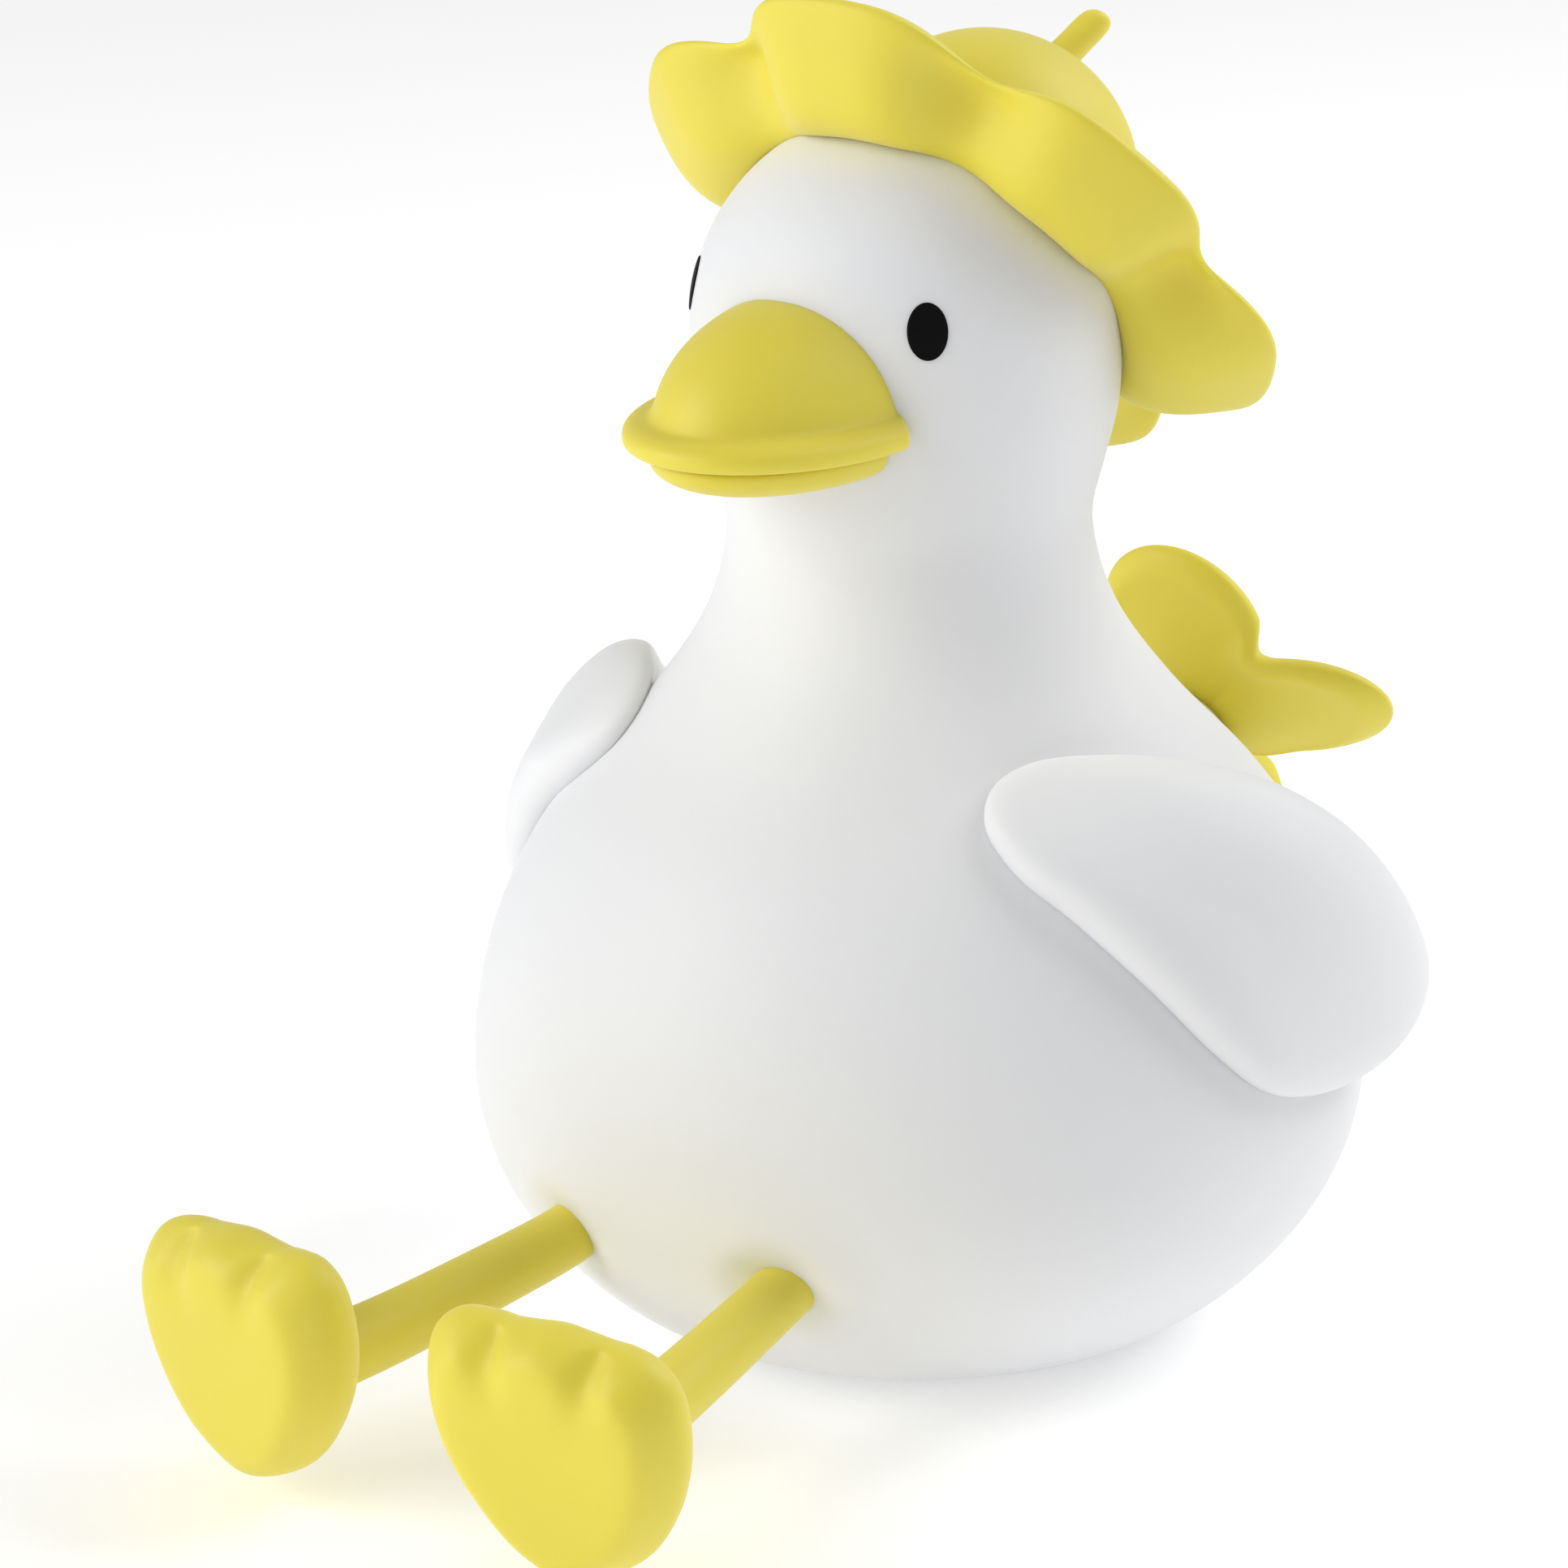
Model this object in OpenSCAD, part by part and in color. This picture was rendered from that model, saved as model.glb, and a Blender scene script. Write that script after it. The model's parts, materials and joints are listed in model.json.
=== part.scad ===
// Sitting duck night light: a soft silicone skin over a hard drum with a rechargeable lamp, a
// flower hat, puffy wings, a flower on the tail and floppy legs with paddle feet.
// Millimetres, +Z up, the duck looks along -Y, its left is +X. The origin is the middle of the
// base plate's underside, on the table.

/* [Body] */
// Radius of the belly where it is widest
belly_r = 52.2; // [50:0.1:54]
// Radius of the neck where it is thinnest
neck_r = 20.8; // [20:0.1:22]
// Radius of the head
head_r = 24.4; // [23:0.1:25]
// Height of the head's centre along the body's own axis
head_z = 118; // [116:0.5:120]
// Forward lean of the body's own axis in degrees
lean = 2.3; // [0:0.1:4]
// Thickness of the silicone skin
skin_t = 3; // [2.5:0.1:3.2]

/* [Face] */
// Height of the lip between the upper and the lower bill
lip_z = 110; // [108:0.5:112]
// Half width of the bill
bill_half_w = 15.5; // [14:0.5:17]
// Length of the bill from its root inside the head to its tip
bill_l = 24; // [22:0.5:26]
// Height of the upper bill over the lip
bill_rise = 14.5; // [13:0.5:17]
// Depth of the lower bill under the lip
bill_drop = 5.5; // [5:0.5:8]
// Height of the eyes
eye_z = 122.3; // [120:0.1:125]
// Angle of each eye from straight ahead
eye_az = 41; // [38:1:46]
// Width of an eye
eye_w = 4.8; // [4:0.1:6]
// Height of an eye
eye_h = 6.8; // [6:0.1:8]

/* [Hat] */
// How far the hat leans back from the head's top
hat_tilt = 49; // [45:0.5:52]
// Turn of the brim about the hat's own axis
hat_turn = 30; // [0:1:59]
// Number of petals on the brim
petals = 6; // [5:1:7]
// Reach of a petal from the hat's axis
petal_reach = 40; // [38:0.5:42]
// Rise of a petal's tip over its root
petal_rise = 4; // [3:0.5:6]
// Radius of the crown's round top
crown_r = 17.8; // [17.5:0.1:19]
// Diameter of the stem on the crown
stem_d = 4.2; // [3.5:0.1:5]
// Length of the stem
stem_l = 9.5; // [7:0.5:10]

/* [Wings and tail] */
// Length of a wing
wing_l = 64; // [58:0.5:68]
// Thickness of a wing
wing_t = 15; // [12:0.5:17]
// Reach of a petal of the tail flower
tail_reach = 26; // [23:0.5:28]
// Number of petals of the tail flower
tail_petals = 4; // [4:1:5]

/* [Legs] */
// Distance of each hip from the middle plane
hip_x = 15; // [14:0.5:16]
// How far the hips are in front of the origin
hip_y = 49.4; // [48.8:0.1:50]
// Height of the hips
hip_z = 17.6; // [16:0.1:19]
// Diameter of a leg
leg_d = 8; // [7.6:0.1:8.4]
// Distance of each ankle from the middle plane
ankle_x = 20; // [19:0.5:22]
// How far the ankles are in front of the origin
ankle_y = 87.5; // [85:0.5:89]
// Height of the ankles
ankle_z = 14.5; // [13:0.5:16]
// Height of a foot
foot_h = 33; // [31:0.5:34]
// Width of a foot over the toes
foot_w = 30; // [28:0.5:32]
// Outward turn of a foot
foot_yaw = 8; // [0:1:12]
// Height of the soles over the table
sole_z = 2; // [0.3:0.1:3]

/* [Lamp inside] */
// Radius of the base plate's flange
base_r = 28; // [27:0.5:28]
// Outer radius of the drum
drum_r = 26; // [25.5:0.5:26]
// Height of the drum's top
drum_top = 36; // [35:0.5:37]
// Diameter of the battery cell
cell_d = 14; // [13.8:0.1:14.2]
// Length of the battery cell
cell_l = 43; // [42:0.5:43]
// Number of lamps on the lamp board
lamps = 8; // [6:1:12]

/* [Hidden] */
$fn = 64;
fine = 96;
gap = 0.3;
function lerp(a, b, t) = a + (b - a) * t;
function smooth(t) = t * t * (3 - 2 * t);

// Body outline as [height, radius] knots on the body's own axis, joined by a smooth curve.
knots = [
    [0, 29.9], [4, 37], [9, 43], [16, 48.3], [23, 51.2], [31, belly_r], [42, 50.6],
    [52, 47], [62, 40.8], [73, 31], [84, 23.6], [95, neck_r], [102, 22.3],
    [109, 24], [head_z, head_r]
];
last = len(knots) - 1;
function slope(i) =
    i == 0 ? 2.05
    : i == last ? 0
    : (knots[i + 1][1] - knots[i - 1][1]) / (knots[i + 1][0] - knots[i - 1][0]);
function hermite(i, t, h) =
    (2 * t ^ 3 - 3 * t ^ 2 + 1) * knots[i][1] + (t ^ 3 - 2 * t ^ 2 + t) * h * slope(i)
    + (3 * t ^ 2 - 2 * t ^ 3) * knots[i + 1][1] + (t ^ 3 - t ^ 2) * h * slope(i + 1);
function knot_of(z, i = 0) = i >= last - 1 || z < knots[i + 1][0] ? i : knot_of(z, i + 1);
function body_r(z) =
    let (i = knot_of(z), h = knots[i + 1][0] - knots[i][0]) hermite(i, (z - knots[i][0]) / h, h);

module outline(inset, from_z) {
    polygon(concat(
        [[0, from_z]],
        [for (z = [from_z : 3 : head_z - 1]) [body_r(z) - inset, z]],
        [for (a = [0 : 9 : 90]) [(head_r - inset) * cos(a), head_z + (head_r - inset) * sin(a)]]
    ));
}
module leaned() {
    rotate([lean, 0, 0])
        children();
}
module both(side) {
    scale([side, 1, 1])
        children();
}
// Centre of the head in the part's own frame.
head_y = -head_z * sin(lean);
head_c = head_z * cos(lean);

// Closed solid from rows of points: the rows run round the loop, the first and the last row are
// capped on their own middle.
module loop_solid(rows) {
    n = len(rows[0]);
    m = len(rows);
    flat = [for (row = rows) each row];
    first = [for (k = [0 : 2]) lookup_mean(rows[0], k)];
    final = [for (k = [0 : 2]) lookup_mean(rows[m - 1], k)];
    polyhedron(
        points = concat(flat, [first, final]),
        faces = concat(
            [for (i = [0 : m - 2]) for (j = [0 : n - 1])
                [i * n + j, i * n + (j + 1) % n, (i + 1) * n + (j + 1) % n]],
            [for (i = [0 : m - 2]) for (j = [0 : n - 1])
                [i * n + j, (i + 1) * n + (j + 1) % n, (i + 1) * n + j]],
            [for (j = [0 : n - 1]) [n * m, (j + 1) % n, j]],
            [for (j = [0 : n - 1]) [n * m + 1, (m - 1) * n + j, (m - 1) * n + (j + 1) % n]]
        ),
        convexity = 6
    );
}
function lookup_mean(row, k) = [for (p = row) p[k]] * [for (p = row) 1] / len(row);

// Round-lobed outline of a flower: each petal is a circle, the circles meet in the notches.
function lobe_r(a, count, reach, deep) =
    let (w = 360 / count, d = a - w * round(a / w), c = reach * deep, rho = reach - c)
    c * cos(d) + sqrt(max(0.5, rho ^ 2 - (c * sin(d)) ^ 2));
function petal_z(q, rise) = rise * smooth(q);
// Radius of the hole in a flower, which widens by ease towards +Y for the back of the head.
function hole_r(a, hole, ease) = hole + ease * max(0, sin(a)) ^ 2;
// A flower as one thick sheet with a rolled edge and a plain hole in the middle.
module flower(count, reach, deep, hole, thick, rise, steps, turn = 0, ease = 0) {
    rings = [0, 0.2, 0.4, 0.6, 0.8, 0.93, 1];
    half = [0.5, 0.42, 0.42, 0.46, 0.56, 0.5, 0.16] * thick;
    under = [for (i = [0 : len(rings) - 1]) [rings[i], -half[i]]];
    over = [for (i = [len(rings) - 1 : -1 : 0]) [rings[i], half[i]]];
    profile = concat(over, under);
    n = len(profile);
    polyhedron(
        points = [for (s = [0 : steps - 1]) for (p = profile)
            let (
                a = 360 * s / steps,
                r = lerp(hole_r(a, hole, ease), lobe_r(a - turn, count, reach, deep), p[0])
            )
            [r * cos(a), r * sin(a), petal_z(p[0], rise) + p[1]]],
        faces = concat(
            [for (s = [0 : steps - 1]) for (k = [0 : n - 1])
                [s * n + k, s * n + (k + 1) % n, ((s + 1) % steps) * n + (k + 1) % n]],
            [for (s = [0 : steps - 1]) for (k = [0 : n - 1])
                [s * n + k, ((s + 1) % steps) * n + (k + 1) % n, ((s + 1) % steps) * n + k]]
        ),
        convexity = 8
    );
}

// ---- Skin
module hip_pocket(side) {
    translate([side * hip_x, -hip_y, hip_z])
        sphere(d = leg_d + 1.6);
    translate([side * hip_x, -hip_y, hip_z])
        rotate([90, 0, side * leg_az])
            translate([0, 0, -8])
                cylinder(d = stud_d + 0.1, h = 8);
}
module body_skin() {
    color([0.93, 0.93, 0.92])
        difference() {
            leaned()
                rotate_extrude($fn = fine)
                    outline(0, 0);
            leaned()
                rotate_extrude($fn = fine)
                    outline(skin_t, 5);
            translate([0, 0, -5])
                cylinder(r = 60, h = 5.5);
            translate([0, 0, -1])
                cylinder(r = base_r + gap, h = 3);
            translate([0, 0, -1])
                cylinder(r = plug_r + gap, h = 9);
            translate([0, 0, 5])
                cylinder(r = flange_r + gap, h = 3);
            hip_pocket(1);
            hip_pocket(-1);
        }
}

// ---- Face
bill_root = 24;
module bill_half(height, half_w, length, side) {
    translate([0, -bill_root, lip_z])
        intersection() {
            scale([half_w, length, height])
                sphere(r = 1);
            translate([-30, -60, side > 0 ? gap / 2 : -30])
                cube([60, 90, 30 - gap / 2]);
        }
}
module head_ball(extra) {
    leaned()
        rotate_extrude($fn = fine)
            outline(-extra, 60);
}
module upper_bill() {
    color([0.9, 0.84, 0.4])
        difference() {
            union() {
                bill_half(bill_rise, bill_half_w - 1, bill_l - 1, 1);
                translate([0, -bill_root, lip_z + gap / 2])
                    scale([bill_half_w, bill_l, 1])
                        cylinder(r = 1, h = 3.6);
            }
            head_ball(0.05);
        }
}
module lower_bill() {
    color([0.9, 0.84, 0.4])
        difference() {
            bill_half(bill_drop, bill_half_w - 2.5, bill_l - 3, -1);
            head_ball(0.05);
        }
}
module eye(side) {
    rise = asin((eye_z - head_c) / head_r);
    color([0.03, 0.03, 0.03])
        translate([0, head_y, head_c])
            rotate([0, 0, side * eye_az])
                rotate([-rise, 0, 0])
                    translate([0, -head_r - 0.1, 0])
                        rotate([90, 0, 0])
                            scale([eye_w / eye_h, 1, 1])
                                cylinder(d = eye_h, h = 0.5);
}
module left_eye() {
    eye(1);
}
module right_eye() {
    eye(-1);
}

// ---- Hat
brim_lift = 8.5;
brim_hole = 23.9;
brim_ease = 3.8;
crown_base = 23.4;
crown_lift = 20.2;
stem_foot = crown_lift + crown_r - 0.9;
module on_head() {
    translate([0, head_y, head_c])
        rotate([-hat_tilt, 0, 0])
            children();
}
module hat_brim() {
    color([0.9, 0.84, 0.4])
        on_head()
            translate([0, 0, brim_lift + 1])
                flower(petals, petal_reach, 0.66, brim_hole, 5.5, petal_rise, 120, hat_turn, brim_ease);
}
module hat_crown() {
    color([0.9, 0.84, 0.4])
        difference() {
            on_head()
                rotate_extrude()
                    intersection() {
                        union() {
                            translate([0, crown_lift])
                                circle(r = crown_r);
                            polygon([
                                [0, brim_lift], [crown_base, brim_lift], [crown_base - 0.6, 13],
                                [crown_r, crown_lift], [0, crown_lift]
                            ]);
                        }
                        translate([0, brim_lift])
                            square([30, 60]);
                    }
            head_ball(0.05);
            on_head()
                translate([0, 0, crown_lift])
                    sphere(r = crown_r - 2.4);
            on_head()
                translate([0, 0, stem_foot - gap / 2])
                    cylinder(d = stem_d + gap, h = 5);
        }
}
module hat_stem() {
    color([0.9, 0.84, 0.4])
        on_head()
            translate([0, 0, stem_foot]) {
                cylinder(d = stem_d, h = stem_l - stem_d / 2);
                translate([0, 0, stem_l - stem_d / 2])
                    sphere(d = stem_d);
            }
}

// ---- Wings
wing_rows = 20;
wing_steps = 36;
// The wing runs from its round front end to its pointed rear end; its own X is its length, its
// own Y points away from the body and its own Z is its width.
function wing_half(t) = 17.5 * sqrt(max(0.0004, sin(180 * t ^ 0.8))) * (1 - 0.22 * t);
module wing(side) {
    wing_front = [27.5, -25, 69.5];
    wing_back = [57, 22, 33];
    run = wing_back - wing_front;
    azimuth = atan2(run[1], run[0]);
    dip = atan2(-run[2], norm([run[0], run[1]]));
    color([0.93, 0.93, 0.92])
        difference() {
            both(side)
                translate(wing_front)
                    rotate([0, dip, azimuth])
                        rotate([28, 0, 0])
                            loop_solid([for (i = [0 : wing_rows])
                                let (t = i / wing_rows, h = wing_half(t))
                                [for (j = [0 : wing_steps - 1])
                                    let (a = 360 * j / wing_steps)
                                    [
                                        wing_l * t,
                                        -wing_t * 0.5 * sqrt(h / 17.5) * sin(a),
                                        h * cos(a) * (cos(a) > 0 ? 1.22 : 1)
                                    ]]]);
            leaned()
                rotate_extrude($fn = fine)
                    outline(-0.05, 6);
        }
}
module left_wing() {
    wing(1);
}
module right_wing() {
    wing(-1);
}

// ---- Tail
tail_y = 57;
tail_z = 53;
tail_pitch = 70;
module tail() {
    color([0.93, 0.93, 0.92])
        difference() {
            translate([0, tail_y, tail_z])
                rotate([-tail_pitch, 0, 0])
                    translate([0, 0, -22])
                        cylinder(r1 = 14, r2 = 7.5, h = 20);
            leaned()
                rotate_extrude($fn = fine)
                    outline(-0.05, 6);
        }
}
module tail_flower() {
    color([0.9, 0.84, 0.4])
        translate([0, tail_y, tail_z])
            rotate([-tail_pitch, 0, 0])
                flower(tail_petals, tail_reach, 0.6, 5, 4, 2.5, 96, -90);
}
module tail_button() {
    color([0.9, 0.84, 0.4])
        translate([0, tail_y, tail_z])
            rotate([-tail_pitch, 0, 0])
                translate([0, 0, -1.8])
                    difference() {
                        union() {
                            cylinder(r = 4.8, h = 4);
                            translate([0, 0, 4])
                                scale([1, 1, 0.4])
                                    sphere(r = 4.8);
                        }
                        translate([0, 0, -5])
                            cylinder(r = 9, h = 5);
                    }
}

// ---- Legs
stud_d = 3.2;
ball_d = 4.6;
stem_slot = stud_d + 0.9;
function leg_run() = [ankle_x - hip_x, -(ankle_y - hip_y), ankle_z - hip_z];
leg_len = norm(leg_run());
leg_az = atan2(ankle_x - hip_x, ankle_y - hip_y);
leg_dip = asin((hip_z - ankle_z) / leg_len);
foot_ball = 8;
module along_leg(side) {
    both(side)
        translate([hip_x, -hip_y, hip_z])
            rotate([90 + leg_dip, 0, leg_az])
                children();
}
module leg(side) {
    color([0.9, 0.84, 0.4])
        along_leg(side)
            difference() {
                union() {
                    sphere(d = leg_d);
                    cylinder(d = leg_d, h = leg_len - 7);
                    translate([0, 0, leg_len - 7])
                        cylinder(d1 = leg_d, d2 = 5, h = 3);
                    translate([0, 0, leg_len - 5])
                        cylinder(d = 5, h = 5);
                    translate([0, 0, leg_len])
                        sphere(d = foot_ball);
                }
                sphere(d = ball_d + 0.4);
                translate([-stem_slot / 2, -6, -8])
                    cube([stem_slot, 12, 8.6]);
            }
}
module left_leg() {
    leg(1);
}
module right_leg() {
    leg(-1);
}
// Stud that goes through the skin: a flange inside, a stem and the ball the leg turns on.
module hip_stud(side) {
    color([0.95, 0.95, 0.93])
        both(side)
            translate([hip_x, -hip_y, hip_z])
                rotate([90, 0, leg_az])
                    translate([0, 0, -11]) {
                        cylinder(d = stud_d, h = 11);
                        translate([0, 0, 11])
                            sphere(d = ball_d);
                        cylinder(d = 9, h = 2);
                    }
}
module left_hip_stud() {
    hip_stud(1);
}
module right_hip_stud() {
    hip_stud(-1);
}
module toe(x, z, r) {
    hull() {
        translate([x, -1, z])
            scale([1, 0.8, 1])
                sphere(r = r, $fn = 28);
        translate([0, 0, 9])
            scale([1.3, 0.7, 1])
                sphere(r = 9, $fn = 28);
    }
}
module foot(side) {
    toe_r = 6;
    toe_x = foot_w / 2 - toe_r;
    color([0.9, 0.84, 0.4])
        difference() {
            both(side)
                translate([ankle_x + 1.2, -ankle_y - 4.6, sole_z])
                    rotate([10, 0, foot_yaw])
                        translate([0, 0, -0.1]) {
                            toe(-toe_x, foot_h - 7.4, toe_r);
                            toe(0, foot_h - 6.6, toe_r);
                            toe(toe_x, foot_h - 9, toe_r);
                        }
            along_leg(side)
                translate([0, 0, leg_len])
                    sphere(d = foot_ball + 0.6, $fn = 32);
            along_leg(side)
                translate([0, 0, leg_len - 12])
                    cylinder(d1 = 10.4, d2 = 6.2, h = 12, $fn = 32);
            translate([-100, -200, -20])
                cube([200, 200, 20]);
        }
}
module left_foot() {
    foot(1);
}
module right_foot() {
    foot(-1);
}

// ---- Lamp inside
plug_r = base_r - 3.8;
flange_r = base_r + 2;
screw_ring = 20;
screw_at = [90, 210, 330];
pad_at = [30, 150, 270];
port_at = [5.5, -13.5];
button_at = [-6.5, -13.5];
board_t = 1.6;
cell_z = 12.8;
cell_y = 3.2;
module base_plate() {
    color([0.9, 0.9, 0.88])
        difference() {
            union() {
                cylinder(r = base_r, h = 1.7);
                cylinder(r = plug_r, h = 5);
            }
            for (a = screw_at)
                rotate([0, 0, a])
                    translate([screw_ring, 0, -1]) {
                        cylinder(r = 1.4, h = 10);
                        cylinder(r = 2.6, h = 2.7);
                    }
            for (a = pad_at)
                rotate([0, 0, a])
                    translate([21, 0, -1])
                        cylinder(r = 3.1, h = 1.8);
            translate([port_at[0] - 4.8, port_at[1] - 1.9, -1])
                cube([9.6, 3.8, 10]);
            translate([button_at[0], button_at[1], -1])
                cylinder(r = 3.9, h = 10);
            translate([-12.5, -19.5, 2.4])
                cube([25, 12, 4]);
        }
}
module anti_slip_pads() {
    color([0.25, 0.25, 0.25])
        for (a = pad_at)
            rotate([0, 0, a])
                translate([21, 0, 0.05])
                    cylinder(r = 3, h = 0.7);
}
module base_screws() {
    color([0.6, 0.6, 0.62])
        for (a = screw_at)
            rotate([0, 0, a])
                translate([screw_ring, 0, 0]) {
                    translate([0, 0, 0.5])
                        difference() {
                            cylinder(r = 2.3, h = 1.2);
                            translate([-1.6, -0.3, -0.1])
                                cube([3.2, 0.6, 0.6]);
                        }
                    translate([0, 0, 1.7])
                        cylinder(r = 1.1, h = 9);
                }
}
module drum() {
    color([0.92, 0.92, 0.9])
        difference() {
            union() {
                translate([0, 0, 5.2])
                    cylinder(r = flange_r, h = 2);
                translate([0, 0, 5.2])
                    cylinder(r = drum_r, h = drum_top - 5.2);
            }
            difference() {
                translate([0, 0, 5])
                    cylinder(r = drum_r - 2, h = drum_top - 7);
                for (a = screw_at)
                    rotate([0, 0, a])
                        translate([screw_ring, -3, 5])
                            cube([5, 6, 9]);
                translate([0, 0, 21.6])
                    difference() {
                        cylinder(r = drum_r - 1, h = 2);
                        translate([0, 0, -1])
                            cylinder(r = drum_r - 4, h = 4);
                    }
            }
            for (a = screw_at)
                rotate([0, 0, a])
                    translate([screw_ring, 0, 4])
                        cylinder(r = 1.15, h = 8);
            translate([0, 0, drum_top - 3])
                cylinder(r = 3, h = 4);
        }
}
module lamp_dome() {
    color([0.95, 0.95, 0.93])
        translate([0, 0, drum_top + 0.2])
            rotate_extrude()
                difference() {
                    union() {
                        translate([0, 8])
                            circle(r = drum_r);
                        square([drum_r, 8]);
                    }
                    translate([0, 8])
                        circle(r = drum_r - 1.6);
                    translate([0, -1])
                        square([drum_r - 1.6, 9]);
                    translate([0, -60])
                        square([60, 60]);
                    translate([-60, -60])
                        square([60, 120]);
                }
}
module battery() {
    color([0.2, 0.35, 0.6])
        translate([-cell_l / 2, cell_y, cell_z])
            rotate([0, 90, 0])
                cylinder(d = cell_d, h = cell_l);
}
module battery_cradle() {
    color([0.9, 0.9, 0.88])
        difference() {
            translate([-14, cell_y - 6, 5.1])
                cube([28, 12, 5]);
            translate([-30, cell_y, cell_z])
                rotate([0, 90, 0])
                    cylinder(d = cell_d + 0.2, h = 60);
        }
}
module control_board() {
    color([0.1, 0.4, 0.25])
        translate([0, 0, 23.7])
            difference() {
                cylinder(r = drum_r - 2.4, h = board_t);
                translate([0, 0, -1])
                    for (x = [-10, 10])
                        translate([x, 14, 0])
                            cylinder(r = 1, h = 4);
            }
}
module control_chips() {
    color([0.12, 0.12, 0.12]) {
        translate([-8, -4, 25.35])
            cube([5, 4, 1.5]);
        translate([4, -9, 25.35])
            cube([3, 3, 1.1]);
        translate([6, 4, 25.35])
            cube([4, 5, 2]);
    }
}
module tap_sensor() {
    color([0.75, 0.75, 0.78])
        translate([-13, 6, 27.45])
            rotate([0, 90, 0])
                cylinder(r = 2, h = 9);
}
module port_board() {
    color([0.1, 0.4, 0.25])
        translate([-12, -19, 8.2])
            cube([24, 11, board_t]);
}
module usb_c_port() {
    color([0.75, 0.75, 0.78])
        translate([port_at[0], port_at[1], 1])
            difference() {
                translate([-4.5, -1.6, 0])
                    cube([9, 3.2, 7.15]);
                translate([-4.15, -1.25, -1])
                    cube([8.3, 2.5, 6.5]);
            }
}
module usb_tongue() {
    color([0.12, 0.12, 0.12])
        translate([port_at[0] - 3.2, port_at[1] - 0.35, 2])
            cube([6.4, 0.7, 4.5]);
}
module tact_switch() {
    color([0.12, 0.12, 0.12])
        translate([button_at[0], button_at[1], 0]) {
            translate([-3, -3, 5.6])
                cube([6, 6, 2.55]);
            translate([0, 0, 5.1])
                cylinder(r = 1.6, h = 0.5);
        }
}
module power_button() {
    color([0.9, 0.84, 0.4])
        translate([button_at[0], button_at[1], 0]) {
            translate([0, 0, 0.5])
                cylinder(r = 3.6, h = 2.3);
            translate([0, 0, 2.7])
                cylinder(r = 4.6, h = 1);
            translate([0, 0, 3.7])
                cylinder(r = 1.6, h = 0.5);
        }
}
module status_light() {
    color([0.9, 0.3, 0.2])
        translate([0, -9.5, 6.65])
            cylinder(r = 1.2, h = 1.5);
}
module lamp_board() {
    color([0.95, 0.95, 0.93])
        translate([0, 0, drum_top + 0.1])
            difference() {
                cylinder(r = drum_r - 2, h = board_t);
                translate([0, 0, -1])
                    cylinder(r = 2.6, h = 4);
            }
}
module lamps_ring() {
    color([0.98, 0.95, 0.7])
        for (i = [0 : lamps - 1])
            rotate([0, 0, 360 * i / lamps])
                translate([15.5, -1.4, drum_top + 0.1 + board_t])
                    cube([3.5, 2.8, 0.9]);
}
module battery_leads() {
    color([0.75, 0.15, 0.12])
        for (x = [-3, 3])
            translate([x, cell_y, cell_z + cell_d / 2 + 0.02])
                cylinder(r = 0.6, h = 3.84);
}
module port_leads() {
    color([0.15, 0.15, 0.15])
        for (x = [-3, 0, 3])
            translate([x, -16, 8.2 + board_t])
                cylinder(r = 0.6, h = 13.85);
}
module lamp_leads() {
    color([0.75, 0.15, 0.12])
        for (x = [-1.2, 1.2])
            translate([x, 0, 23.7 + board_t])
                cylinder(r = 0.6, h = drum_top + 2.4 - 23.7 - board_t);
}

body_skin();
left_wing();
right_wing();
upper_bill();
lower_bill();
left_eye();
right_eye();
hat_brim();
hat_crown();
hat_stem();
tail();
tail_flower();
tail_button();
left_leg();
right_leg();
left_hip_stud();
right_hip_stud();
left_foot();
right_foot();
base_plate();
anti_slip_pads();
base_screws();
drum();
lamp_dome();
battery();
battery_cradle();
control_board();
control_chips();
tap_sensor();
port_board();
usb_c_port();
usb_tongue();
tact_switch();
power_button();
status_light();
lamp_board();
lamps_ring();
battery_leads();
port_leads();
lamp_leads();
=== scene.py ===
# Sitting duck night light: the looks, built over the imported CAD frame. Millimetres inside the
# shape functions, metres in Blender. +Z up, the duck looks along -Y, its left is +X.
import json
import math

import bmesh
import bpy
from mathutils import Matrix, Vector


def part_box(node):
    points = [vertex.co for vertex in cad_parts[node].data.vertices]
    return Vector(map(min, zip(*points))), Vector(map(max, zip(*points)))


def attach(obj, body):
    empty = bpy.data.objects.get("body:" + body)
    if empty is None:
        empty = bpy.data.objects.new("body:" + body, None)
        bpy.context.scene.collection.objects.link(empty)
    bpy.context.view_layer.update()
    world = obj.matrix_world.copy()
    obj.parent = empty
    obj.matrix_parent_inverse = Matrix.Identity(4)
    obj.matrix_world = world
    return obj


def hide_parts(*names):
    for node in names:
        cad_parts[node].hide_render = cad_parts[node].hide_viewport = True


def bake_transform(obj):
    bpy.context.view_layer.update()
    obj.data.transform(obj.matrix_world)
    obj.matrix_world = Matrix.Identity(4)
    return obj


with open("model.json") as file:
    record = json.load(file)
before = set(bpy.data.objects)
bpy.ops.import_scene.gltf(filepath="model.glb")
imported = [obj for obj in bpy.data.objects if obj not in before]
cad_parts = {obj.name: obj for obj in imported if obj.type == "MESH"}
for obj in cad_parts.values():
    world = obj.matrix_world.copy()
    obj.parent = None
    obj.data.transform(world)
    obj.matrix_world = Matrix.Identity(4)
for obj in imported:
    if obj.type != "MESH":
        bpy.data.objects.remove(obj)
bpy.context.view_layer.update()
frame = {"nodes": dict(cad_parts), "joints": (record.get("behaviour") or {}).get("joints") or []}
MM = 0.001


def centre(node):
    lo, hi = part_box(node)
    return (lo + hi) / 2 / MM


def joint(name):
    for j in frame["joints"]:
        if j["name"] == name:
            return Vector(j["pos_m"]) / MM


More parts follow.
